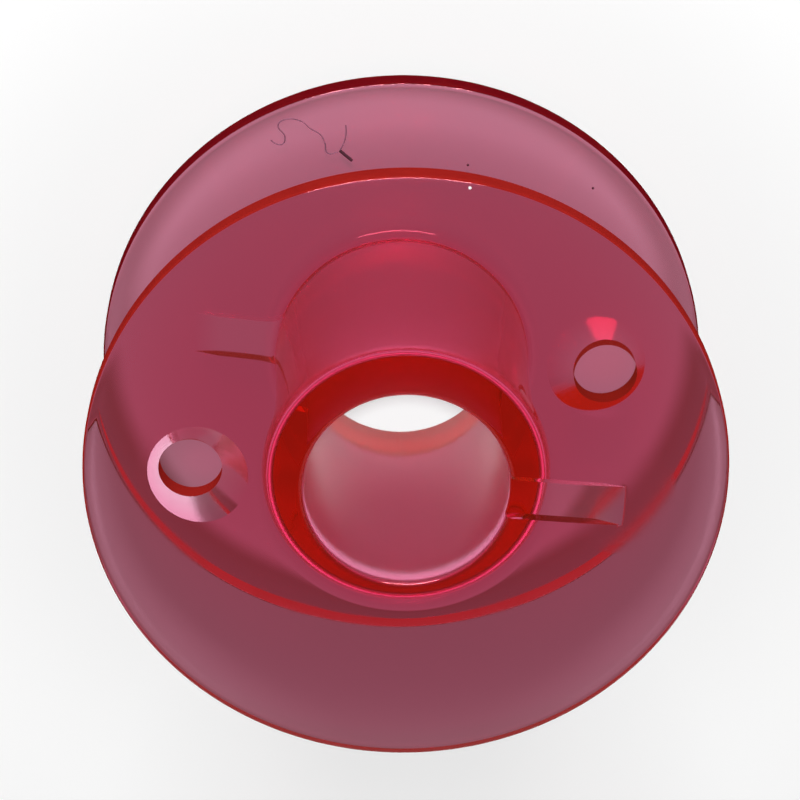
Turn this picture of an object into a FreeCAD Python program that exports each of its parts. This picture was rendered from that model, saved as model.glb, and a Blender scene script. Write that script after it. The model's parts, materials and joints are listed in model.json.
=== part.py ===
"""Sewing machine bobbin, moulded as one piece in clear coloured plastic.

A tubular hub joins two domed flanges that thin a little towards their rims. The
bobbin stands on the flat ring round one end of its bore, with the bore along +Z
and the origin in the middle of that ring. Each flange has a drive slot on one
side of the bore and a thread hole on the other. A half turn about the Y
direction brings one flange onto the other, so that the bobbin works either way
up. One half is modelled, from the middle of the hub upwards, and the half turn
makes the other. Millimetres.
"""

import FreeCAD, Part
import os

import Sketcher

NODE = "bobbin"

SIZES = {
    # Overall
    "flange_diameter": 20.4,
    "height": 11.1,
    # Flange: a plate that curves back from the end and thins towards an upright rim
    "flange_thickness": 1.1,
    "dome_drop": 0.88,
    "rim_thickness": 0.85,
    "rim_edge_round": 0.15,
    # Hub: a plain tube, with a flat ring round its end before the dome starts
    "bore_diameter": 6.5,
    "hub_wall": 0.95,
    "flat_ring_width": 0.8,
    "hub_fillet": 0.55,
    "bore_edge_round": 0.25,
    # Drive slot in the outer face, from the bore outwards, with a ramp at its end
    "slot_width": 1.35,
    "slot_depth": 0.4,
    "slot_reach": 7.1,
    "slot_ramp": 1.05,
    # Thread hole, with a countersink measured at the level of the flat ring
    "hole_diameter": 2.0,
    "hole_offset": 6.8,
    "countersink_diameter": 3.65,
    "countersink_depth": 0.52,
}

# Points of a sketch element, as constraints number them
START, END = range(1, 3)
SKETCH_ORIGIN = (-1, START)
SKETCH_X_AXIS, SKETCH_Z_AXIS = -1, -2

# How near two lengths are when they count as one
CLOSE = 1e-4


def make_sheet(doc):
    """Put the driving dimensions in a spreadsheet, one named cell each."""
    sheet = doc.addObject("Spreadsheet::Sheet", "sizes")
    for row, (alias, value) in enumerate(SIZES.items(), start=1):
        cell = "B%d" % row
        sheet.set("A%d" % row, alias)
        sheet.set(cell, str(value))
        sheet.setAlias(cell, alias)
    doc.recompute()


def origin_plane(body, role):
    """Return the body's own origin plane with this role."""
    for feature in body.Origin.OriginFeatures:
        if feature.Role == role:
            return feature
    raise ValueError("no origin plane " + role)


def new_sketch(body, name):
    """Start a sketch on the XZ plane, with its own origin at mid height of the bobbin."""
    sketch = body.newObject("Sketcher::SketchObject", name)
    sketch.AttachmentSupport = [(origin_plane(body, "XZ_Plane"), "")]
    sketch.MapMode = "FlatFace"
    sketch.setExpression("AttachmentOffset.Base.y", "sizes.height / 2")
    return sketch


def line(sketch, start, end, construction=False):
    """Draw a straight line between two points given as (x, z)."""
    segment = Part.LineSegment(FreeCAD.Vector(*start, 0), FreeCAD.Vector(*end, 0))
    return sketch.addGeometry(segment, construction)


def arc(sketch, start, middle, end):
    """Draw an arc anticlockwise through three points given as (x, z)."""
    points = [FreeCAD.Vector(*point, 0) for point in (start, middle, end)]
    return sketch.addGeometry(Part.Arc(*points))


def outline(sketch, corners):
    """Draw a closed outline of straight lines through these corners."""
    lines = []
    for start, end in zip(corners, corners[1:] + corners[:1]):
        lines.append(line(sketch, start, end))
    for first, second in zip(lines, lines[1:] + lines[:1]):
        constrain(sketch, "Coincident", first, END, second, START)
    return lines


def constrain(sketch, kind, *elements):
    """Add a constraint that needs no size."""
    sketch.addConstraint(Sketcher.Constraint(kind, *elements))


def across(sketch, first, second, name, expression):
    """Bind the distance along sketch x from one point to another to the sheet."""
    apart = sketch.getPoint(*second).x - sketch.getPoint(*first).x
    bind(sketch, Sketcher.Constraint("DistanceX", *first, *second, apart), name, expression)


def upward(sketch, first, second, name, expression):
    """Bind the distance along sketch z from one point to another to the sheet."""
    apart = sketch.getPoint(*second).y - sketch.getPoint(*first).y
    bind(sketch, Sketcher.Constraint("DistanceY", *first, *second, apart), name, expression)


def bind(sketch, constraint, name, expression):
    """Add a named size and give it its expression."""
    index = sketch.addConstraint(constraint)
    sketch.renameConstraint(index, name)
    sketch.setExpression("Constraints." + name, expression)


def draw_section(body):
    """Draw the section of one half: bore, flat ring, domed flange with an upright rim, hub."""
    sketch = new_sketch(body, "section")
    half = SIZES["height"] / 2
    bore = SIZES["bore_diameter"] / 2
    hub = bore + SIZES["hub_wall"]
    flat = hub + SIZES["flat_ring_width"]
    thick = SIZES["flange_thickness"]
    drop = SIZES["dome_drop"]
    rim = SIZES["flange_diameter"] / 2
    edge = SIZES["rim_thickness"]

    # Starting shape, near the one that the constraints settle on
    midway = (flat + rim) / 2
    rim_top = (rim, half - drop)
    rim_foot = (rim, half - drop - edge)
    bore_line = line(sketch, (bore, 0), (bore, half))
    end_line = line(sketch, (bore, half), (flat, half))
    outer_dome = arc(sketch, rim_top, (midway, half - drop / 4), (flat, half))
    rim_line = line(sketch, rim_foot, rim_top)
    inner_dome = arc(sketch, rim_foot, (midway, half - drop / 4 - thick), (flat, half - thick))
    inner_line = line(sketch, (flat, half - thick), (hub, half - thick))
    hub_line = line(sketch, (hub, half - thick), (hub, 0))
    middle_line = line(sketch, (hub, 0), (bore, 0))

    # Corners, and smooth joints between the flats and the domes
    constrain(sketch, "Coincident", bore_line, END, end_line, START)
    constrain(sketch, "Tangent", end_line, END, outer_dome, END)
    constrain(sketch, "Coincident", outer_dome, START, rim_line, END)
    constrain(sketch, "Coincident", rim_line, START, inner_dome, START)
    constrain(sketch, "Tangent", inner_dome, END, inner_line, START)
    constrain(sketch, "Coincident", inner_line, END, hub_line, START)
    constrain(sketch, "Coincident", hub_line, END, middle_line, START)
    constrain(sketch, "Coincident", middle_line, END, bore_line, START)
    for upright in (bore_line, rim_line, hub_line):
        constrain(sketch, "Vertical", upright)
    for level in (end_line, inner_line, middle_line):
        constrain(sketch, "Horizontal", level)
    constrain(sketch, "PointOnObject", bore_line, START, SKETCH_X_AXIS)

    across(sketch, SKETCH_ORIGIN, (bore_line, START), "bore", "sizes.bore_diameter / 2")
    upward(sketch, (bore_line, START), (bore_line, END), "half_height", "sizes.height / 2")
    across(sketch, (bore_line, START), (hub_line, END), "wall", "sizes.hub_wall")
    across(sketch, (bore_line, END), (end_line, END), "flat_end", "sizes.hub_wall + sizes.flat_ring_width")
    across(sketch, (inner_line, END), (inner_line, START), "flat_inside", "sizes.flat_ring_width")
    upward(sketch, (inner_line, START), (end_line, END), "thickness", "sizes.flange_thickness")
    across(sketch, SKETCH_ORIGIN, (rim_line, END), "rim", "sizes.flange_diameter / 2")
    upward(sketch, (rim_line, END), (end_line, END), "drop", "sizes.dome_drop")
    upward(sketch, (rim_line, START), (rim_line, END), "edge", "sizes.rim_thickness")
    return sketch


def draw_slot(body):
    """Draw the drive slot's side view: flat floor, then a ramp up to the face."""
    sketch = new_sketch(body, "slot_side")
    top = SIZES["height"] / 2
    floor = top - SIZES["slot_depth"]
    reach = SIZES["slot_reach"]
    ramp_foot = reach - SIZES["slot_ramp"]
    corners = [(0, floor), (ramp_foot, floor), (reach, top), (0, top)]
    floor_line, ramp_line, top_line, axis_line = outline(sketch, corners)
    constrain(sketch, "Horizontal", floor_line)
    constrain(sketch, "Horizontal", top_line)
    constrain(sketch, "Vertical", axis_line)
    constrain(sketch, "PointOnObject", axis_line, START, SKETCH_Z_AXIS)
    upward(sketch, SKETCH_ORIGIN, (axis_line, START), "half_height", "sizes.height / 2")
    upward(sketch, (axis_line, END), (axis_line, START), "depth", "sizes.slot_depth")
    across(sketch, (axis_line, START), (ramp_line, END), "reach", "sizes.slot_reach")
    across(sketch, (ramp_line, START), (ramp_line, END), "ramp", "sizes.slot_ramp")
    return sketch


def draw_hole(body):
    """Draw half the thread hole's section beside its axis: countersink, then a plain bore."""
    sketch = new_sketch(body, "hole_section")
    top = SIZES["height"] / 2
    bottom = top - SIZES["flange_thickness"] - SIZES["dome_drop"]
    axis = -SIZES["hole_offset"]
    wall = axis + SIZES["hole_diameter"] / 2
    lip = axis + SIZES["countersink_diameter"] / 2
    neck = top - SIZES["countersink_depth"]
    corners = [(axis, bottom), (wall, bottom), (wall, neck), (lip, top), (axis, top)]
    bottom_line, wall_line, cone_line, top_line, axis_line = outline(sketch, corners)
    for level in (bottom_line, top_line):
        constrain(sketch, "Horizontal", level)
    for upright in (wall_line, axis_line):
        constrain(sketch, "Vertical", upright)
    turning_axis = line(sketch, (axis, bottom), (axis, top), construction=True)
    constrain(sketch, "Coincident", turning_axis, START, axis_line, END)
    constrain(sketch, "Coincident", turning_axis, END, axis_line, START)
    across(sketch, (axis_line, END), SKETCH_ORIGIN, "offset", "sizes.hole_offset")
    across(sketch, (axis_line, END), (wall_line, START), "radius", "sizes.hole_diameter / 2")
    across(sketch, (axis_line, START), (cone_line, END), "lip", "sizes.countersink_diameter / 2")
    upward(sketch, (cone_line, START), (cone_line, END), "depth", "sizes.countersink_depth")
    upward(sketch, SKETCH_ORIGIN, (axis_line, START), "half_height", "sizes.height / 2")
    upward(sketch, (axis_line, END), (axis_line, START), "through",
           "sizes.flange_thickness + sizes.dome_drop")
    return sketch


def circles(shape, radius, height=None):
    """Name the level round edges of this radius, at one height or at any."""
    names = []
    for number, edge in enumerate(shape.Edges, start=1):
        box = edge.BoundBox
        level = box.ZMax - box.ZMin < CLOSE
        here = height is None or abs(box.ZMin - height) < CLOSE
        if level and here and abs(box.XMax - radius) < CLOSE:
            names.append("Edge%d" % number)
    if not names:
        raise ValueError("no round edge of radius %g" % radius)
    return names


def round_edges(body, name, base, edges, alias):
    """Round these edges of the body by a radius from the sheet."""
    fillet = body.newObject("PartDesign::Fillet", name)
    fillet.Base = (base, edges)
    fillet.setExpression("Radius", "sizes." + alias)
    body.Document.recompute()
    return fillet


def check_cut(before, after):
    """Stop if a cut took nothing away."""
    if after.Shape.Volume > before.Shape.Volume - CLOSE:
        raise RuntimeError(after.Label + " cuts nothing")


def make_bobbin(doc):
    """Turn one half, round its edges, cut its slot and hole, and add the half turn."""
    body = doc.addObject("PartDesign::Body", NODE)
    body.Label = NODE
    height = SIZES["height"]
    bore_radius = SIZES["bore_diameter"] / 2
    hub_radius = bore_radius + SIZES["hub_wall"]

    section = draw_section(body)
    turned = body.newObject("PartDesign::Revolution", "turned_half")
    turned.Profile = section
    turned.ReferenceAxis = (section, ["V_Axis"])
    turned.Angle = 360
    doc.recompute()

    rim = circles(turned.Shape, SIZES["flange_diameter"] / 2)
    rimmed = round_edges(body, "rim_edges", turned, rim, "rim_edge_round")
    hub_corner = circles(rimmed.Shape, hub_radius, height - SIZES["flange_thickness"])
    filleted = round_edges(body, "hub_corner", rimmed, hub_corner, "hub_fillet")
    mouth = circles(filleted.Shape, bore_radius, height)
    rounded = round_edges(body, "bore_mouth", filleted, mouth, "bore_edge_round")

    slot = body.newObject("PartDesign::Pocket", "drive_slot")
    slot.Profile = draw_slot(body)
    slot.SideType = "Symmetric"
    slot.setExpression("Length", "sizes.slot_width")
    doc.recompute()
    check_cut(rounded, slot)

    hole_section = draw_hole(body)
    hole = body.newObject("PartDesign::Groove", "thread_hole")
    hole.Profile = hole_section
    hole.ReferenceAxis = (hole_section, ["Axis0"])
    hole.Angle = 360
    doc.recompute()
    check_cut(slot, hole)

    both = body.newObject("PartDesign::PolarPattern", "half_turn")
    both.TransformMode = "Whole shape"
    both.Axis = (section, ["N_Axis"])
    both.Angle = 360
    both.Occurrences = 2
    body.Tip = both
    doc.recompute()
    return body


def check_document(doc, body):
    """Stop if any object failed or the bobbin isn't one sound solid."""
    for item in doc.Objects:
        failed = [state for state in item.State if state in ("Invalid", "Error")]
        if failed:
            raise RuntimeError("%s is %s" % (item.Label, ", ".join(failed)))
    shape = body.Shape
    if shape.isNull() or not shape.isValid() or len(shape.Solids) != 1:
        raise RuntimeError(body.Label + " is not one sound solid")


def main():
    doc = FreeCAD.newDocument("sewing_machine_bobbin")
    make_sheet(doc)
    body = make_bobbin(doc)
    check_document(doc, body)
    os.makedirs("parts", exist_ok=True)
    body.Shape.exportStep("parts/%s.step" % body.Label)
    box = body.Shape.optimalBoundingBox(False, False)
    print("bobbin %.3f x %.3f x %.3f mm, from z %.3f" % (box.XLength, box.YLength, box.ZLength, box.ZMin))
    print("volume %.2f mm3, area %.2f mm2" % (body.Shape.Volume, body.Shape.Area))


main()
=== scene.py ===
# %% [markdown]
# # A clear pink sewing machine bobbin
# The bobbin is one small moulding of clear pink-red plastic: a tube with a domed flange at each end.
# Light passes through every wall, so its look depends on true wall thickness and smooth curves.
# This lesson turns the body with Geometry Nodes, gives it a glass-like plastic that takes out green and
# blue on the way through, adds the lint and specks that lie on it, and lights it from beside the camera.

import json
import math

import bmesh
import bpy
from mathutils import Matrix, Vector

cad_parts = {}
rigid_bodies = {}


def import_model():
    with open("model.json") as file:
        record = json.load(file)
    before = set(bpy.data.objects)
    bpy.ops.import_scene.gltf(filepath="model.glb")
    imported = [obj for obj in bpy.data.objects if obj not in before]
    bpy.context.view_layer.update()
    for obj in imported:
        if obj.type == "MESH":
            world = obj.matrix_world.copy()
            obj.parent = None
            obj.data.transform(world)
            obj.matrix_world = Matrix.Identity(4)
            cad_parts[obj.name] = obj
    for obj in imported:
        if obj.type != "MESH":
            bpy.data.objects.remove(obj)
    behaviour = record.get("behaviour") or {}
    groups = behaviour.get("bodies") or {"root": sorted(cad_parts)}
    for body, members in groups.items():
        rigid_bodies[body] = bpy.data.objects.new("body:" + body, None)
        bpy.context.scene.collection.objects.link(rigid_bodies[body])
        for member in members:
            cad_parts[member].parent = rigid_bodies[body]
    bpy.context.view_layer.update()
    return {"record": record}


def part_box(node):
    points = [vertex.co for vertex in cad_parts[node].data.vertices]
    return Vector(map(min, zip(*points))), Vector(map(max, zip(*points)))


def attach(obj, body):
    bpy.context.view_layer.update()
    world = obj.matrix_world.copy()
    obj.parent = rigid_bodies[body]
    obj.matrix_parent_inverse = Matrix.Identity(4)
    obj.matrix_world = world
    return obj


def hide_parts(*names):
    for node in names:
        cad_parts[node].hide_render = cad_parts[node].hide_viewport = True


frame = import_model()
NODE = "bobbin"

# %% [markdown]
# ## Sizes
# The overall box and the bore come from the frame, so the turned body always matches the solid that it
# stands for. The smaller sizes are the real ones of the moulding, written once in millimetres.

# %% Read the main sizes from the frame and name the rest
MM = 0.001

low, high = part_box(NODE)
flange_radius = (high.x - low.x) / 2
height = high.z - low.z
mounts = {mount["name"]: mount for mount in frame["record"]["mounts"]}
bore_radius = mounts["bore"]["dims"]["r_mm"] * MM

FLANGE_THICKNESS = 1.1 * MM
DOME_DROP = 0.88 * MM
RIM_THICKNESS = 0.85 * MM
RIM_EDGE_ROUND = 0.15 * MM
HUB_WALL = 0.95 * MM
FLAT_RING_WIDTH = 0.8 * MM
HUB_FILLET = 0.55 * MM
BORE_EDGE_ROUND = 0.25 * MM
SLOT_WIDTH = 1.35 * MM
SLOT_DEPTH = 0.4 * MM
SLOT_REACH = 7.1 * MM
SLOT_RAMP = 1.05 * MM
HOLE_RADIUS = 1.0 * MM
HOLE_OFFSET = 6.8 * MM
COUNTERSINK_RADIUS = 1.825 * MM
COUNTERSINK_DEPTH = 0.52 * MM

hub_radius = bore_radius + HUB_WALL
flat_radius = hub_radius + FLAT_RING_WIDTH
print("bobbin %.2f mm across, %.2f mm tall, bore %.2f mm"
      % (2 * flange_radius / MM, height / MM, 2 * bore_radius / MM))

# %% [markdown]
# ## The section
# A turned or moulded round piece is fully described by half its section. Here it is made of straight
# runs and arcs, as it would be on a drawing: bore, rounded mouth, flat ring, outer dome, upright rim with
# rounded edges, inner dome, fillet and hub. Each dome is an arc that leaves its flat ring without a kink,
# and the inner one is flatter, so the flange thins towards the rim. The lower half is the upper one
# mirrored about mid height.

# %% Draw the half section as points in a plane of radius and height
MOUTH_STEPS = 8
DOME_STEPS = 24
UPPER_ROUND_STEPS = 8
LOWER_ROUND_STEPS = 10
FILLET_STEPS = 14


def arc(centre, radius, start, end, steps):
    """Points of an arc from one angle to another, in degrees from the outward direction."""
    points = []
    for step in range(steps + 1):
        angle = math.radians(start + (end - start) * step / steps)
        points.append((centre[0] + radius * math.cos(angle), centre[1] + radius * math.sin(angle)))
    return points


def dome(level, drop, side):
    """A dome that leaves this level and drops this far at the rim, and the round on its edge there.

    The round lies inside the dome's arc when side is -1 and outside it when side is 1.
    """
    run = flange_radius - flat_radius
    radius = (run ** 2 + drop ** 2) / (2 * drop)
    centre = (flat_radius, level - radius)
    across = run - RIM_EDGE_ROUND
    rise = math.sqrt((radius + side * RIM_EDGE_ROUND) ** 2 - across ** 2)
    round_centre = (flat_radius + across, centre[1] + rise)
    return centre, radius, round_centre, math.degrees(math.atan2(rise, across))


def upper_section():
    """The outline above mid height, from the bore over the flange and back to the hub."""
    mouth_centre = (bore_radius + BORE_EDGE_ROUND, height - BORE_EDGE_ROUND)
    fillet_centre = (hub_radius + HUB_FILLET, height - FLANGE_THICKNESS - HUB_FILLET)
    inner_drop = DOME_DROP + RIM_THICKNESS - FLANGE_THICKNESS
    outer_centre, outer_radius, upper_round, upper_meets = dome(height, DOME_DROP, -1)
    inner_centre, inner_radius, lower_round, lower_meets = dome(height - FLANGE_THICKNESS, inner_drop, 1)
    points = arc(mouth_centre, BORE_EDGE_ROUND, 180, 90, MOUTH_STEPS)
    points += arc(outer_centre, outer_radius, 90, upper_meets, DOME_STEPS)
    points += arc(upper_round, RIM_EDGE_ROUND, upper_meets, 0, UPPER_ROUND_STEPS)[1:]
    points += arc(lower_round, RIM_EDGE_ROUND, 0, lower_meets - 180, LOWER_ROUND_STEPS)
    points += arc(inner_centre, inner_radius, lower_meets, 90, DOME_STEPS)[1:]
    points += arc(fillet_centre, HUB_FILLET, 90, 180, FILLET_STEPS)
    return points


upper = upper_section()
section = upper + [(radius, height - level) for radius, level in reversed(upper)]
print("section: %d points" % len(section))

# %% [markdown]
# ## The cutters
# Each flange has a drive slot on one side of the bore and a countersunk thread hole on the other. One
# cutter holds both shapes for the upper flange, and the node tree repeats it by a half turn for the
# lower one. A cutter stands a little proud of the face that it enters, so that no two faces coincide.

# %% Make the cutter for one flange
CUT_CLEARANCE = 1.0 * MM
HOLE_STEPS = 96


def add_prism(bm, side, width):
    """Add a prism along Y from its side view, given as points of X and Z."""
    rows = []
    for y in (-width / 2, width / 2):
        rows.append([bm.verts.new((x, y, z)) for x, z in side])
    for face in rows:
        bm.faces.new(face)
    for index in range(len(side)):
        after = (index + 1) % len(side)
        bm.faces.new((rows[0][index], rows[0][after], rows[1][after], rows[1][index]))


def add_turned(bm, axis_x, profile, steps):
    """Add a shape turned about an upright axis from points of radius and Z."""
    rings = []
    for radius, z in profile:
        ring = []
        for step in range(steps):
            angle = 2 * math.pi * step / steps
            ring.append(bm.verts.new((axis_x + radius * math.cos(angle), radius * math.sin(angle), z)))
        rings.append(ring)
    for lower, upper_ring in zip(rings, rings[1:]):
        for index in range(steps):
            after = (index + 1) % steps
            bm.faces.new((lower[index], lower[after], upper_ring[after], upper_ring[index]))
    bm.faces.new(rings[0])
    bm.faces.new(rings[-1])


def make_cutter():
    """The drive slot and the thread hole of the upper flange, as closed shapes."""
    bm = bmesh.new()
    floor = height - SLOT_DEPTH
    top = height + CUT_CLEARANCE
    ramp_foot = SLOT_REACH - SLOT_RAMP
    side = [(0, floor), (ramp_foot, floor), (SLOT_REACH, height), (SLOT_REACH, top), (0, top)]
    add_prism(bm, side, SLOT_WIDTH)
    foot = height - DOME_DROP - FLANGE_THICKNESS - CUT_CLEARANCE
    profile = [(HOLE_RADIUS, foot), (HOLE_RADIUS, height - COUNTERSINK_DEPTH),
               (COUNTERSINK_RADIUS, height), (COUNTERSINK_RADIUS, top)]
    add_turned(bm, -HOLE_OFFSET, profile, HOLE_STEPS)
    bmesh.ops.recalc_face_normals(bm, faces=bm.faces)
    mesh = bpy.data.meshes.new("cutter")
    bm.to_mesh(mesh)
    bm.free()
    return mesh


def add_object(name, data):
    """Put a mesh, curve, lamp or camera into the scene at the origin."""
    item = bpy.data.objects.new(name, data)
    bpy.context.scene.collection.objects.link(item)
    return item


cutter = add_object("cutter", make_cutter())
print("cutter: %d faces" % len(cutter.data.polygons))

# %% [markdown]
# ## The turned body
# The section could be spun in mesh code, but a node tree keeps the recipe in one place: Curve to Mesh
# sweeps the section round a circle, the cutter and its half turn are taken away, and edges sharper than
# a set angle stay crisp while the rest is shaded smooth.

# %% Helpers for node trees
def new_tree(name, inputs):
    """Start a geometry tree with named inputs, and return it with its input and output nodes."""
    tree = bpy.data.node_groups.new(name, "GeometryNodeTree")
    tree.is_modifier = True
    for label, kind in inputs:
        tree.interface.new_socket(label, in_out="INPUT", socket_type=kind)
    tree.interface.new_socket("Geometry", in_out="OUTPUT", socket_type="NodeSocketGeometry")
    return tree, tree.nodes.new("NodeGroupInput"), tree.nodes.new("NodeGroupOutput")


def run_tree(name, tree, values):
    """Run a tree on an empty mesh with these inputs, and return the result as a plain mesh object."""
    piece = add_object(name, bpy.data.meshes.new(name))
    modifier = piece.modifiers.new(tree.name, "NODES")
    modifier.node_group = tree
    for socket in tree.interface.items_tree:
        if socket.in_out == "INPUT" and socket.name in values:
            modifier[socket.identifier] = values[socket.name]
    depsgraph = bpy.context.evaluated_depsgraph_get()
    mesh = bpy.data.meshes.new_from_object(piece.evaluated_get(depsgraph))
    piece.modifiers.remove(modifier)
    piece.data = mesh
    mesh.name = name
    return piece


# %% Build the tree that turns and cuts the body
def turning_tree():
    """Sweep a section round the axis, cut both flanges, and keep the cut edges crisp."""
    tree, given, result = new_tree("turned_body", [
        ("Section", "NodeSocketObject"),
        ("Cutter", "NodeSocketObject"),
        ("Path Radius", "NodeSocketFloat"),
        ("Turn Steps", "NodeSocketInt"),
        ("Height", "NodeSocketFloat"),
        ("Weld Distance", "NodeSocketFloat"),
        ("Crease Angle", "NodeSocketFloat"),
        ("Plastic", "NodeSocketMaterial"),
    ])
    add = tree.nodes.new
    link = tree.links.new

    section_info = add("GeometryNodeObjectInfo")
    link(given.outputs["Section"], section_info.inputs["Object"])
    path = add("GeometryNodeCurvePrimitiveCircle")
    link(given.outputs["Turn Steps"], path.inputs["Resolution"])
    link(given.outputs["Path Radius"], path.inputs["Radius"])
    sweep = add("GeometryNodeCurveToMesh")
    link(path.outputs["Curve"], sweep.inputs["Curve"])
    link(section_info.outputs["Geometry"], sweep.inputs["Profile Curve"])

    cutter_info = add("GeometryNodeObjectInfo")
    link(given.outputs["Cutter"], cutter_info.inputs["Object"])
    raised = add("ShaderNodeCombineXYZ")
    link(given.outputs["Height"], raised.inputs["Z"])
    half_turn = add("GeometryNodeTransform")
    half_turn.inputs["Rotation"].default_value = (0, math.pi, 0)
    link(cutter_info.outputs["Geometry"], half_turn.inputs["Geometry"])
    link(raised.outputs["Vector"], half_turn.inputs["Translation"])

    cut = add("GeometryNodeMeshBoolean")
    cut.operation = "DIFFERENCE"
    cut.solver = "EXACT"
    link(sweep.outputs["Mesh"], cut.inputs["Mesh 1"])
    link(cutter_info.outputs["Geometry"], cut.inputs["Mesh 2"])
    link(half_turn.outputs["Geometry"], cut.inputs["Mesh 2"])

    weld = add("GeometryNodeMergeByDistance")
    link(cut.outputs["Mesh"], weld.inputs["Geometry"])
    link(given.outputs["Weld Distance"], weld.inputs["Distance"])
    smooth = add("GeometryNodeSetShadeSmooth")
    link(weld.outputs["Geometry"], smooth.inputs["Geometry"])
    angle = add("GeometryNodeInputMeshEdgeAngle")
    sharp = add("FunctionNodeCompare")
    sharp.operation = "GREATER_THAN"
    link(angle.outputs["Unsigned Angle"], sharp.inputs["A"])
    link(given.outputs["Crease Angle"], sharp.inputs["B"])
    crisp = add("GeometryNodeSetShadeSmooth")
    crisp.domain = "EDGE"
    crisp.inputs["Shade Smooth"].default_value = False
    link(smooth.outputs["Geometry"], crisp.inputs["Geometry"])
    link(sharp.outputs["Result"], crisp.inputs["Selection"])

    realize = add("GeometryNodeRealizeInstances")
    paint = add("GeometryNodeSetMaterial")
    link(crisp.outputs["Geometry"], realize.inputs["Geometry"])
    link(realize.outputs["Geometry"], paint.inputs["Geometry"])
    link(given.outputs["Plastic"], paint.inputs["Material"])
    link(paint.outputs["Geometry"], result.inputs["Geometry"])
    return tree


# %% [markdown]
# ## Shader helpers
# Smudges on the plastic, grain on the edges and the mottled colour of the lint are one effect: noise that
# is carried smoothly from one range to another. It is built once as a node group with named inputs, and
# each material places it with its own values. The smaller helpers measure, join and blend.

# %% Helpers that measure, join and blend
def object_place(tree):
    """Where a point lies on the piece."""
    return tree.nodes.new("ShaderNodeTexCoord").outputs["Object"]


def axis_distance(tree, place):
    """The distance of a point from the upright line through the origin of this place."""
    flatten = tree.nodes.new("ShaderNodeVectorMath")
    flatten.operation = "MULTIPLY"
    flatten.inputs[1].default_value = (1, 1, 0)
    length = tree.nodes.new("ShaderNodeVectorMath")
    length.operation = "LENGTH"
    tree.links.new(place, flatten.inputs[0])
    tree.links.new(flatten.outputs["Vector"], length.inputs[0])
    return length.outputs["Value"]


def map_value(tree, value, low_in, high_in, low_out, high_out):
    """A value carried smoothly from one range to another."""
    change = tree.nodes.new("ShaderNodeMapRange")
    change.interpolation_type = "SMOOTHSTEP"
    change.inputs["From Min"].default_value = low_in
    change.inputs["From Max"].default_value = high_in
    change.inputs["To Min"].default_value = low_out
    change.inputs["To Max"].default_value = high_out
    tree.links.new(value, change.inputs["Value"])
    return change.outputs["Result"]


def combine(tree, operation, first, second):
    """Two values joined by one sum."""
    sum_node = tree.nodes.new("ShaderNodeMath")
    sum_node.operation = operation
    tree.links.new(first, sum_node.inputs[0])
    tree.links.new(second, sum_node.inputs[1])
    return sum_node.outputs[0]


def blend(tree, mask, first, second):
    """A colour that goes from the first to the second as the mask rises."""
    mix = tree.nodes.new("ShaderNodeMix")
    mix.data_type = "RGBA"
    tree.links.new(mask, mix.inputs["Factor"])
    ends = [socket for socket in mix.inputs if socket.type == "RGBA"]
    for end, colour in zip(ends, (first, second)):
        if isinstance(colour, tuple):
            end.default_value = colour
        else:
            tree.links.new(colour, end)
    return [socket for socket in mix.outputs if socket.type == "RGBA"][0]


def new_material(name):
    """A material with its node tree and its Principled shader."""
    material = bpy.data.materials.new(name)
    material.use_nodes = True
    return material, material.node_tree, material.node_tree.nodes["Principled BSDF"]


# %% Build the mottle group
NOISE_INPUTS = ("Scale", "Detail")
RANGE_INPUTS = ("From Min", "From Max", "To Min", "To Max")
FULL_RANGE = (0.0, 1.0)


def mottle_group():
    """A group that puts out plain noise, and the same noise carried from one range to another."""
    group = bpy.data.node_groups.new("mottle", "ShaderNodeTree")
    for label in NOISE_INPUTS + RANGE_INPUTS:
        group.interface.new_socket(label, in_out="INPUT", socket_type="NodeSocketFloat")
    for label in ("Noise", "Value"):
        group.interface.new_socket(label, in_out="OUTPUT", socket_type="NodeSocketFloat")
    given = group.nodes.new("NodeGroupInput")
    result = group.nodes.new("NodeGroupOutput")
    texture = group.nodes.new("ShaderNodeTexNoise")
    change = group.nodes.new("ShaderNodeMapRange")
    change.interpolation_type = "SMOOTHSTEP"
    link = group.links.new
    link(object_place(group), texture.inputs["Vector"])
    for label in NOISE_INPUTS:
        link(given.outputs[label], texture.inputs[label])
    for label in RANGE_INPUTS:
        link(given.outputs[label], change.inputs[label])
    link(texture.outputs[0], change.inputs["Value"])
    link(texture.outputs[0], result.inputs["Noise"])
    link(change.outputs["Result"], result.inputs["Value"])
    return group


def mottle(tree, scale, detail, noise_range, value_range):
    """Place the mottle group with these values, and return its outputs."""
    node = tree.nodes.new("ShaderNodeGroup")
    node.node_tree = mottling
    for label, value in zip(NOISE_INPUTS + RANGE_INPUTS, (scale, detail, *noise_range, *value_range)):
        node.inputs[label].default_value = value
    return node.outputs


mottling = mottle_group()
print("mottle group: %d nodes" % len(mottling.nodes))
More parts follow.
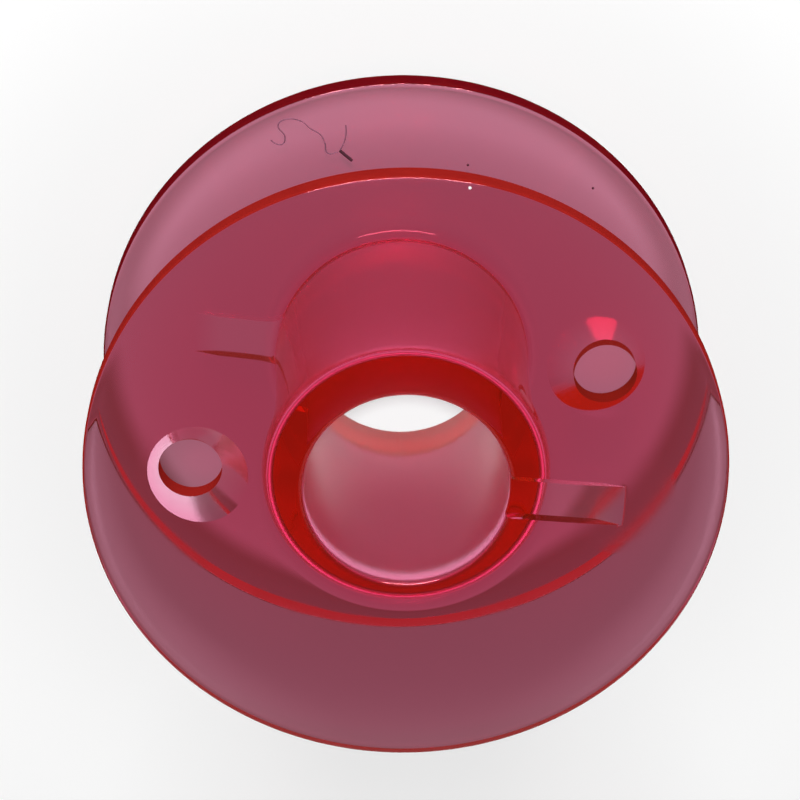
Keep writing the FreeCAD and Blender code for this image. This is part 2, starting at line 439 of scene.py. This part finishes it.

# %% [markdown]
# ## The plastic
# The plastic is clear and takes out green and blue, so a thin wall looks pink and a long way through it,
# as down the hub's wall, looks deep orange-red. A volume that absorbs gives this by itself. Handling has
# left faint smudges, and the bore and the countersinks are less polished than the rest, so roughness
# varies over the surface. Reflections get a painted pink tint, which stands in for the pink faces that
# they mirror more than the room. A faint orange painted glow all over the plastic stands in for light
# trapped in its walls. Lamps reach what lies behind through a Transparent shader that shadow and diffuse
# rays see.

# %% Make the clear pink plastic
PLASTIC_IOR = 1.5
ABSORB_PER_METRE = 1000.0
ABSORB_COLOUR = (0.991, 0.12, 0.5, 1.0)
# Painted reflection: a pink tint on every reflection, standing in for the pink faces that it mirrors.
PAINTED_REFLECTION_TINT = (1.0, 0.3, 0.35, 1.0)
# Painted glow: a faint orange emission all over the plastic, standing in for light trapped in its walls.
PAINTED_GLOW_STRENGTH = 0.02
PAINTED_GLOW_COLOUR = (1.0, 0.25, 0.06, 1.0)
SHADOW_TINT = (0.37, 0.28, 0.31, 1.0)
SMUDGE_SCALE = 220.0
SMUDGE_DETAIL = 3.0
SMUDGE_RANGE = (0.45, 0.7)
POLISHED = 0.02
SMUDGED = 0.07
WAVE_SCALE = 420.0
WAVE_HEIGHT = 0.004 * MM
COUNTERSINK_ROUGHNESS = 0.12
COUNTERSINK_FADE = (0.9 * COUNTERSINK_RADIUS, COUNTERSINK_RADIUS)
BORE_ROUGHNESS = 0.3
BORE_FADE = (1.01 * bore_radius, 1.03 * bore_radius)


def countersink_roughness(tree, place):
    """The duller finish inside the countersinks, which lie on opposite sides of the bore."""
    values = []
    for side in (-1, 1):
        shift = tree.nodes.new("ShaderNodeVectorMath")
        shift.operation = "SUBTRACT"
        shift.inputs[1].default_value = (side * HOLE_OFFSET, 0, 0)
        tree.links.new(place, shift.inputs[0])
        reach = axis_distance(tree, shift.outputs["Vector"])
        values.append(map_value(tree, reach, *COUNTERSINK_FADE, COUNTERSINK_ROUGHNESS, 0.0))
    return combine(tree, "MAXIMUM", *values)


def clear_plastic():
    """Glass-like plastic: absorption, smudges, faint waves, painted pink reflections, a painted glow."""
    material, tree, shader = new_material("clear_pink_plastic")
    nodes = tree.nodes
    link = tree.links.new
    shader.inputs["Base Color"].default_value = (1, 1, 1, 1)
    shader.inputs["IOR"].default_value = PLASTIC_IOR
    shader.inputs["Transmission Weight"].default_value = 1.0
    shader.inputs["Specular Tint"].default_value = PAINTED_REFLECTION_TINT
    shader.inputs["Emission Color"].default_value = PAINTED_GLOW_COLOUR
    shader.inputs["Emission Strength"].default_value = PAINTED_GLOW_STRENGTH

    place = object_place(tree)
    smudges = mottle(tree, SMUDGE_SCALE, SMUDGE_DETAIL, SMUDGE_RANGE, (POLISHED, SMUDGED))["Value"]
    bore = map_value(tree, axis_distance(tree, place), *BORE_FADE, BORE_ROUGHNESS, 0.0)
    matt = combine(tree, "MAXIMUM", bore, countersink_roughness(tree, place))
    link(combine(tree, "MAXIMUM", smudges, matt), shader.inputs["Roughness"])
    bump = nodes.new("ShaderNodeBump")
    bump.inputs["Distance"].default_value = WAVE_HEIGHT
    link(mottle(tree, WAVE_SCALE, 0.0, FULL_RANGE, FULL_RANGE)["Noise"], bump.inputs["Height"])
    link(bump.outputs["Normal"], shader.inputs["Normal"])

    absorb = nodes.new("ShaderNodeVolumeAbsorption")
    absorb.inputs["Color"].default_value = ABSORB_COLOUR
    absorb.inputs["Density"].default_value = ABSORB_PER_METRE
    passed = nodes.new("ShaderNodeBsdfTransparent")
    passed.inputs["Color"].default_value = SHADOW_TINT
    path = nodes.new("ShaderNodeLightPath")
    mix = nodes.new("ShaderNodeMixShader")
    lit = combine(tree, "MAXIMUM", path.outputs["Is Shadow Ray"], path.outputs["Is Diffuse Ray"])
    link(lit, mix.inputs["Fac"])
    link(shader.outputs["BSDF"], mix.inputs[1])
    link(passed.outputs["BSDF"], mix.inputs[2])
    output = nodes["Material Output"]
    link(mix.outputs["Shader"], output.inputs["Surface"])
    link(absorb.outputs["Volume"], output.inputs["Volume"])
    return material


plastic = clear_plastic()
print("plastic: %d nodes" % len(plastic.node_tree.nodes))

# %% [markdown]
# ## The painted glow on the edges
# Light that is trapped in the flanges leaves at their edges, so the rims and the walls of the thread holes
# look like solid bands of orange-red. That glow is painted on: the edges get an opaque colour and emission
# of their own, which also keeps the pale floor from showing in them. The lower rim has painted shade, as
# if it lay in shadow next to the floor, but seen from within, through the plastic, its painted glow is
# bright. Backfacing tells the inside from the outside.

# %% Make the painted glow for the edges
# Painted light: the lower rim gets painted shade, the upper rim a lit copy, and both a painted glow.
PAINTED_SHADE_EDGE_LOW = (0.09, 0.002, 0.004, 1.0)
PAINTED_LIGHT_EDGE_HIGH = (0.2, 0.009, 0.007, 1.0)
PAINTED_GLOW_LOW_WITHIN = (0.6, 0.07, 0.09, 1.0)
PAINTED_GLOW_HIGH_WITHIN = (0.25, 0.015, 0.015, 1.0)
PAINTED_EDGE_GLOW = 0.6
EDGE_ROUGHNESS = 0.4
EDGE_GRAIN = 0.12
EDGE_GRAIN_SCALE = 900.0
EDGE_GRAIN_DETAIL = 2.0
EDGE_GRAIN_RANGE = (0.3, 0.7)
PAINTED_SHADE_RISE = (0.2 * height, 0.8 * height)
HOLE_FADE = (0.8 * flange_radius, 0.9 * flange_radius)


def painted_glow_edge():
    """Opaque orange-red painted glow, with painted shade on the lower flange rising to the lit upper one.
    """
    material, tree, shader = new_material("painted_glow_edge")
    place = object_place(tree)
    split = tree.nodes.new("ShaderNodeSeparateXYZ")
    tree.links.new(place, split.inputs["Vector"])
    # Painted shade: the colour rises with height from the shaded lower rim to the lit upper one.
    rise = map_value(tree, split.outputs["Z"], *PAINTED_SHADE_RISE, 0.0, 1.0)
    hole = map_value(tree, axis_distance(tree, place), *HOLE_FADE, 1.0, 0.0)
    grain = mottle(tree, EDGE_GRAIN_SCALE, EDGE_GRAIN_DETAIL, EDGE_GRAIN_RANGE, (-EDGE_GRAIN, EDGE_GRAIN))
    mask = combine(tree, "ADD", combine(tree, "MAXIMUM", rise, hole), grain["Value"])
    colour = blend(tree, mask, PAINTED_SHADE_EDGE_LOW, PAINTED_LIGHT_EDGE_HIGH)
    # Painted glow: seen from within, through the plastic, the edges glow brighter.
    within = tree.nodes.new("ShaderNodeNewGeometry").outputs["Backfacing"]
    glow = blend(tree, within, colour, blend(tree, mask, PAINTED_GLOW_LOW_WITHIN, PAINTED_GLOW_HIGH_WITHIN))
    tree.links.new(colour, shader.inputs["Base Color"])
    tree.links.new(glow, shader.inputs["Emission Color"])
    shader.inputs["Emission Strength"].default_value = PAINTED_EDGE_GLOW
    shader.inputs["Roughness"].default_value = EDGE_ROUGHNESS
    shader.inputs["Specular IOR Level"].default_value = 0.0
    return material


edge = painted_glow_edge()
print("edge: %d nodes" % len(edge.node_tree.nodes))

# %% [markdown]
# ## Turning the body
# The section becomes a closed flat curve, measured from the circle that it is swept along. The tree turns
# and cuts it, and the result is a plain mesh. Its faces then get their material by place, clear plastic or
# the painted glow: a rim is whatever lies far from the axis, and the wall of a thread hole is upright and
# close to the hole's own axis.

# %% Turn the body
PATH_RADIUS = 7.0 * MM
TURN_STEPS = 256
WELD_DISTANCE = 0.001 * MM
CREASE_ANGLE = math.radians(30)


def section_curve(points):
    """A closed flat curve through the section's points, measured from the path that it is swept along."""
    curve = bpy.data.curves.new("section", "CURVE")
    spline = curve.splines.new("POLY")
    spline.points.add(len(points) - 1)
    for point, (radius, level) in zip(spline.points, points):
        point.co = (radius - PATH_RADIUS, -level, 0, 1)
    spline.use_cyclic_u = True
    return curve


section_object = add_object("section", section_curve(section))
body = run_tree("clear_bobbin", turning_tree(), {
    "Section": section_object,
    "Cutter": cutter,
    "Path Radius": PATH_RADIUS,
    "Turn Steps": TURN_STEPS,
    "Height": height,
    "Weld Distance": WELD_DISTANCE,
    "Crease Angle": CREASE_ANGLE,
    "Plastic": plastic,
})
for helper in (section_object, cutter):
    bpy.data.objects.remove(helper)

bm = bmesh.new()
bm.from_mesh(body.data)
open_edges = sum(not line.is_manifold for line in bm.edges)
volume = bm.calc_volume(signed=True)
bm.free()
print("body: %d faces, %d open edges, %.2f mm3" % (len(body.data.polygons), open_edges, volume / MM ** 3))

# %% Give the rims and hole walls their painted glow, and let the body stand for the solid
EDGE_DEPTH = 0.06 * MM
WALL_DEPTH = 0.03 * MM
UPRIGHT = 0.5


def is_edge(face):
    """Whether a face lies on a rim or on the upright wall of a thread hole."""
    x, y, z = face.center
    side = -1 if z > height / 2 else 1
    on_rim = math.hypot(x, y) > flange_radius - EDGE_DEPTH
    in_hole = math.hypot(x - side * HOLE_OFFSET, y) < HOLE_RADIUS + WALL_DEPTH
    return on_rim or (in_hole and abs(face.normal.z) < UPRIGHT)


body.data.materials.clear()
for finish in (plastic, edge):
    body.data.materials.append(finish)
for face in body.data.polygons:
    face.material_index = int(is_edge(face))
print("edge: %d faces" % sum(face.material_index for face in body.data.polygons))
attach(body, "root")
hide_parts(NODE)

# %% [markdown]
# ## Lint and specks
# A used bobbin picks up dirt. A loose fibre with a short dark bit of thread lies on the inside of the lower
# flange, with two dark specks near it, and a pale speck sits on the edge of the upper one. The fibres are
# curves swept by a node tree, and the specks are small balls placed on points, half sunk in the face.

# %% Helpers for the dirt
LINT_SCALE = 3000.0
LINT_DETAIL = 2.0
LINT_RANGE = (0.35, 0.65)
LINT_ROUGHNESS = 0.8


def inner_face(x, y):
    """The height of the lower flange's inner face at this place."""
    inner_drop = DOME_DROP + RIM_THICKNESS - FLANGE_THICKNESS
    centre, radius, _, _ = dome(height - FLANGE_THICKNESS, inner_drop, 1)
    across = max(math.hypot(x, y) - flat_radius, 0)
    return height - centre[1] - math.sqrt(radius ** 2 - across ** 2)


def dirt(name, dark, pale):
    """A dull finish that wanders between two colours."""
    material, tree, shader = new_material(name)
    mask = mottle(tree, LINT_SCALE, LINT_DETAIL, LINT_RANGE, FULL_RANGE)["Value"]
    tree.links.new(blend(tree, mask, dark, pale), shader.inputs["Base Color"])
    shader.inputs["Roughness"].default_value = LINT_ROUGHNESS
    return material


def finish_piece(tree, geometry, material, result):
    """End a tree with real geometry, smooth shading and a material."""
    realize = tree.nodes.new("GeometryNodeRealizeInstances")
    smooth = tree.nodes.new("GeometryNodeSetShadeSmooth")
    paint = tree.nodes.new("GeometryNodeSetMaterial")
    tree.links.new(geometry, realize.inputs["Geometry"])
    tree.links.new(realize.outputs["Geometry"], smooth.inputs["Geometry"])
    tree.links.new(smooth.outputs["Geometry"], paint.inputs["Geometry"])
    tree.links.new(material, paint.inputs["Material"])
    tree.links.new(paint.outputs["Geometry"], result.inputs["Geometry"])


print("inner face at the rim: %.2f mm" % (inner_face(flange_radius, 0) / MM))

# %% Draw the fibres on the lower flange
FIBRE_RADIUS = 0.02 * MM
BIT_RADIUS = 0.055 * MM
FIBRE_SIDES = 8
FIBRE_DARK = (0.2, 0.065, 0.12, 1.0)
FIBRE_PALE = (0.3, 0.1, 0.17, 1.0)
BIT_DARK = (0.04, 0.004, 0.012, 1.0)
BIT_PALE = (0.08, 0.008, 0.025, 1.0)
FIBRE_PATH = [(-5.05, 7.74), (-4.91, 7.63), (-4.67, 7.60), (-4.59, 7.87), (-4.85, 8.31), (-4.70, 8.50),
              (-4.11, 8.50), (-3.79, 8.25), (-3.41, 8.01), (-3.26, 7.73), (-3.13, 7.36), (-2.80, 7.42)]
STRAND_PATH = [(-2.62, 8.44), (-2.59, 8.07), (-2.66, 7.69), (-2.74, 7.50)]
BIT_PATH = [(-2.74, 7.50), (-2.53, 7.33), (-2.31, 7.16)]


def fibre_curve(name, paths, lift):
    """Smooth curves through these places, in millimetres, lying on the face."""
    curve = bpy.data.curves.new(name, "CURVE")
    curve.dimensions = "3D"
    for path in paths:
        spline = curve.splines.new("BEZIER")
        spline.bezier_points.add(len(path) - 1)
        for point, (x, y) in zip(spline.bezier_points, path):
            point.co = (x * MM, y * MM, inner_face(x * MM, y * MM) + lift)
            point.handle_left_type = point.handle_right_type = "AUTO"
    return add_object(name, curve)


def fibre_tree():
    """Sweep a round section along curves."""
    tree, given, result = new_tree("fibre", [
        ("Path", "NodeSocketObject"),
        ("Radius", "NodeSocketFloat"),
        ("Sides", "NodeSocketInt"),
        ("Finish", "NodeSocketMaterial"),
    ])
    add = tree.nodes.new
    link = tree.links.new
    info = add("GeometryNodeObjectInfo")
    link(given.outputs["Path"], info.inputs["Object"])
    circle = add("GeometryNodeCurvePrimitiveCircle")
    link(given.outputs["Sides"], circle.inputs["Resolution"])
    link(given.outputs["Radius"], circle.inputs["Radius"])
    sweep = add("GeometryNodeCurveToMesh")
    sweep.inputs["Fill Caps"].default_value = True
    link(info.outputs["Geometry"], sweep.inputs["Curve"])
    link(circle.outputs["Curve"], sweep.inputs["Profile Curve"])
    finish_piece(tree, sweep.outputs["Mesh"], given.outputs["Finish"], result)
    return tree


sweeping = fibre_tree()
pale_lint = dirt("pale_lint", FIBRE_DARK, FIBRE_PALE)
dark_lint = dirt("dark_lint", BIT_DARK, BIT_PALE)
for name, paths, radius, finish in (("lint_fibre", [FIBRE_PATH, STRAND_PATH], FIBRE_RADIUS, pale_lint),
                                    ("lint_bit", [BIT_PATH], BIT_RADIUS, dark_lint)):
    guide = fibre_curve(name + "_path", paths, radius)
    values = {"Path": guide, "Radius": radius, "Sides": FIBRE_SIDES, "Finish": finish}
    piece = run_tree(name, sweeping, values)
    bpy.data.objects.remove(guide)
    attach(piece, "root")
    print("%s: %d faces" % (name, len(piece.data.polygons)))

# %% Drop the specks
DARK_SPECKS = [(1.55, 7.31), (5.78, 6.93)]
PALE_SPECK = (1.00, 9.95, 10.29)
DARK_SPECK_RADIUS = 0.045 * MM
PALE_SPECK_RADIUS = 0.055 * MM
SPECK_SUBDIVISIONS = 3
DUST_DARK = (0.75, 0.7, 0.7, 1.0)
DUST_PALE = (0.95, 0.92, 0.92, 1.0)


def speck_tree():
    """Put a small ball on every point of an object."""
    tree, given, result = new_tree("specks", [
        ("Places", "NodeSocketObject"),
        ("Radius", "NodeSocketFloat"),
        ("Finish", "NodeSocketMaterial"),
    ])
    add = tree.nodes.new
    link = tree.links.new
    info = add("GeometryNodeObjectInfo")
    link(given.outputs["Places"], info.inputs["Object"])
    ball = add("GeometryNodeMeshIcoSphere")
    ball.inputs["Subdivisions"].default_value = SPECK_SUBDIVISIONS
    link(given.outputs["Radius"], ball.inputs["Radius"])
    place = add("GeometryNodeInstanceOnPoints")
    link(info.outputs["Geometry"], place.inputs["Points"])
    link(ball.outputs["Mesh"], place.inputs["Instance"])
    finish_piece(tree, place.outputs["Instances"], given.outputs["Finish"], result)
    return tree


scattering = speck_tree()
dark_places = [(x * MM, y * MM, inner_face(x * MM, y * MM)) for x, y in DARK_SPECKS]
pale_places = [tuple(Vector(PALE_SPECK) * MM)]
pale_dust = dirt("pale_dust", DUST_DARK, DUST_PALE)
for name, places, radius, finish in (("dark_specks", dark_places, DARK_SPECK_RADIUS, dark_lint),
                                     ("pale_speck", pale_places, PALE_SPECK_RADIUS, pale_dust)):
    mesh = bpy.data.meshes.new(name + "_places")
    mesh.from_pydata(places, [], [])
    guide = add_object(name + "_places", mesh)
    piece = run_tree(name, scattering, {"Places": guide, "Radius": radius, "Finish": finish})
    bpy.data.objects.remove(guide)
    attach(piece, "root")
    print("%s: %d faces" % (name, len(piece.data.polygons)))

# %% [markdown]
# ## The floor
# A plain pale floor lets the plastic's own colour show. Clear plastic throws a light, soft shadow, so part
# of the floor's paleness is a painted light of its own, which the camera, reflections and the plastic see
# alike. It is a painted pool of light under the bobbin, where light that passes between the flanges would
# gather, weakest just round it, a painted shadow, and it rises again in the distance, where the lamps fade.

# %% Lay the floor
FLOOR_RADIUS = 0.6
FLOOR_SEGMENTS = 96
FLOOR_GAP = 0.02 * MM
FLOOR_COLOUR = (0.85, 0.85, 0.85, 1.0)
FLOOR_ROUGHNESS = 0.9
# Painted light on the floor: a painted pool of light under the bobbin fades to a painted shadow round it.
PAINTED_POOL_START = 9.0 * MM
PAINTED_POOL_END = 9.8 * MM
PAINTED_POOL_LIGHT = 0.25
PAINTED_SHADOW_LIGHT = 0.07
FAR_START = 11.5 * MM
FAR_END = 22.0 * MM
FAR_LIGHT = 0.16
DISTANT_START = 30.0 * MM
DISTANT_END = 160.0 * MM
DISTANT_LIGHT = 0.6


def background_rays(tree):
    """A value that is 1 for camera, glossy and transmission rays, which see the pale background."""
    path = tree.nodes.new("ShaderNodeLightPath")
    mirrored = combine(tree, "MAXIMUM", path.outputs["Is Glossy Ray"], path.outputs["Is Transmission Ray"])
    return combine(tree, "MAXIMUM", path.outputs["Is Camera Ray"], mirrored)


def plain_floor():
    """A floor with painted light of its own: a pool under the bobbin, a shadow round it, more further out.
    """
    bm = bmesh.new()
    bmesh.ops.create_circle(bm, cap_ends=True, segments=FLOOR_SEGMENTS, radius=FLOOR_RADIUS)
    mesh = bpy.data.meshes.new("floor")
    bm.to_mesh(mesh)
    bm.free()
    material, tree, shader = new_material("pale_floor")
    shader.inputs["Base Color"].default_value = FLOOR_COLOUR
    shader.inputs["Roughness"].default_value = FLOOR_ROUGHNESS
    shader.inputs["Specular IOR Level"].default_value = 0.0
    shader.inputs["Emission Color"].default_value = (1, 1, 1, 1)
    reach = axis_distance(tree, object_place(tree))
    # Painted pool of light under the bobbin, falling to a painted shadow just round it.
    under = map_value(tree, reach, PAINTED_POOL_START, PAINTED_POOL_END, PAINTED_POOL_LIGHT, PAINTED_SHADOW_LIGHT)
    around = map_value(tree, reach, FAR_START, FAR_END, 0.0, FAR_LIGHT - PAINTED_SHADOW_LIGHT)
    beyond = map_value(tree, reach, DISTANT_START, DISTANT_END, 0.0, DISTANT_LIGHT - FAR_LIGHT)
    painted_floor_light = combine(tree, "ADD", combine(tree, "ADD", under, around), beyond)
    seen = combine(tree, "MULTIPLY", background_rays(tree), painted_floor_light)
    tree.links.new(seen, shader.inputs["Emission Strength"])
    mesh.materials.append(material)
    return add_object("floor", mesh)


floor = plain_floor()
floor.location.z = low.z - FLOOR_GAP
print("floor: %.1f m across" % (2 * FLOOR_RADIUS))

# %% [markdown]
# ## The lamps
# All three lamps stand on the camera's side. The main lamp is close to the camera's own direction, so that
# it lights the floor through the bore and most of the shadow hides behind the bobbin. The low lamp shines
# in between the flanges. Both are hidden from reflections. The third is a strip that only reflections see:
# it draws the pink streak on the fillet at the foot of the hub.

# %% Set the lamps
LAMP_AZIMUTH = 97.1
MAIN_ELEVATION = 65.1
MAIN_DISTANCE = 0.2
MAIN_SIZE = 0.02
MAIN_POWER = 0.36
LOW_ELEVATION = 20.0
LOW_DISTANCE = 0.5
LOW_SPREAD = math.radians(15)
LOW_STRENGTH = 1.1
GLINT_ELEVATION = 42.0
GLINT_DISTANCE = 0.5
GLINT_WIDTH = 0.34
GLINT_HEIGHT = 0.06
GLINT_POWER = 4.0


def direction(azimuth, elevation):
    """The unit vector towards a compass angle from +X and a height above the floor, in degrees."""
    turn = math.radians(azimuth)
    rise = math.radians(elevation)
    return Vector((math.cos(turn) * math.cos(rise), math.sin(turn) * math.cos(rise), math.sin(rise)))


def aim_lamp(name, kind, elevation, distance, energy):
    """A lamp on the camera's side that faces the middle of the bobbin."""
    lamp = add_object(name, bpy.data.lights.new(name, kind))
    towards = direction(LAMP_AZIMUTH, elevation)
    lamp.location = Vector((0, 0, height / 2)) + towards * distance
    lamp.rotation_mode = "QUATERNION"
    lamp.rotation_quaternion = towards.to_track_quat("Z", "Y")
    lamp.data.energy = energy
    lamp.visible_transmission = False
    print("%s: %.0f degrees above the floor" % (name, elevation))
    return lamp


main_lamp = aim_lamp("main_lamp", "AREA", MAIN_ELEVATION, MAIN_DISTANCE, MAIN_POWER)
main_lamp.data.shape = "DISK"
main_lamp.data.size = MAIN_SIZE
main_lamp.visible_glossy = False

low_lamp = aim_lamp("low_lamp", "SUN", LOW_ELEVATION, LOW_DISTANCE, LOW_STRENGTH)
low_lamp.data.angle = LOW_SPREAD
low_lamp.visible_glossy = False

glint_lamp = aim_lamp("glint_lamp", "AREA", GLINT_ELEVATION, GLINT_DISTANCE, GLINT_POWER)
glint_lamp.data.shape = "RECTANGLE"
glint_lamp.data.size = GLINT_WIDTH
glint_lamp.data.size_y = GLINT_HEIGHT
glint_lamp.visible_diffuse = False

# %% [markdown]
# ## The world
# The room is dim overhead, so that the domes don't mirror a bright ceiling, and a little lighter near the
# horizon. The camera, reflections and the plastic also see a pale backdrop there.

# %% Set the world
WORLD_LOW = 0.25
WORLD_HIGH = 0.08
WORLD_TURN_START = 0.05
WORLD_TURN_END = 0.4
BACKDROP_LIGHT = 0.55
BACKDROP_START = 0.3
BACKDROP_END = 0.7


def pale_world():
    """A world whose light falls off with height, with a backdrop that lights nothing."""
    world = bpy.data.worlds.new("pale_world")
    world.use_nodes = True
    tree = world.node_tree
    where = tree.nodes.new("ShaderNodeTexCoord")
    split = tree.nodes.new("ShaderNodeSeparateXYZ")
    tree.links.new(where.outputs["Generated"], split.inputs["Vector"])
    rise = split.outputs["Z"]
    light = map_value(tree, rise, WORLD_TURN_START, WORLD_TURN_END, WORLD_LOW, WORLD_HIGH)
    backdrop = map_value(tree, rise, BACKDROP_START, BACKDROP_END, BACKDROP_LIGHT, 0.0)
    seen = combine(tree, "MULTIPLY", background_rays(tree), backdrop)
    paint = tree.nodes["Background"]
    paint.inputs["Color"].default_value = (1, 1, 1, 1)
    tree.links.new(combine(tree, "ADD", light, seen), paint.inputs["Strength"])
    return world


bpy.context.scene.world = pale_world()
print("world: %.2f at the horizon, %.2f overhead" % (WORLD_LOW, WORLD_HIGH))

# %% [markdown]
# ## Camera
# The camera looks down on the upper flange from the +Y side, rolled so that the lower flange shows
# above the upper one. Place, aim and roll were found by fitting both rims and the bore.

# %% Place the camera
CAMERA_PLACE = Vector((-5.17, 40.27, 89.84)) * MM
CAMERA_AIM = Vector((-0.16, 0.42, 5.34)) * MM
CAMERA_ROLL = math.radians(177.83)
CAMERA_LENS = 127.51
SENSOR_WIDTH = 36.0
CLIP_START = 1.0 * MM

lens = bpy.data.cameras.new("camera")
lens.lens = CAMERA_LENS
lens.sensor_width = SENSOR_WIDTH
lens.clip_start = CLIP_START
camera = add_object("camera", lens)
facing = (CAMERA_AIM - CAMERA_PLACE).to_track_quat("-Z", "Y").to_matrix()
rolled = facing @ Matrix.Rotation(CAMERA_ROLL, 3, "Z")
camera.matrix_world = Matrix.Translation(CAMERA_PLACE) @ rolled.to_4x4()
bpy.context.scene.camera = camera
bpy.context.scene.view_settings.view_transform = "Standard"
print("camera: %.0f mm from its aim" % ((CAMERA_AIM - CAMERA_PLACE).length / MM))

# %% [markdown]
# ## The end

# %% Finish
print("done")
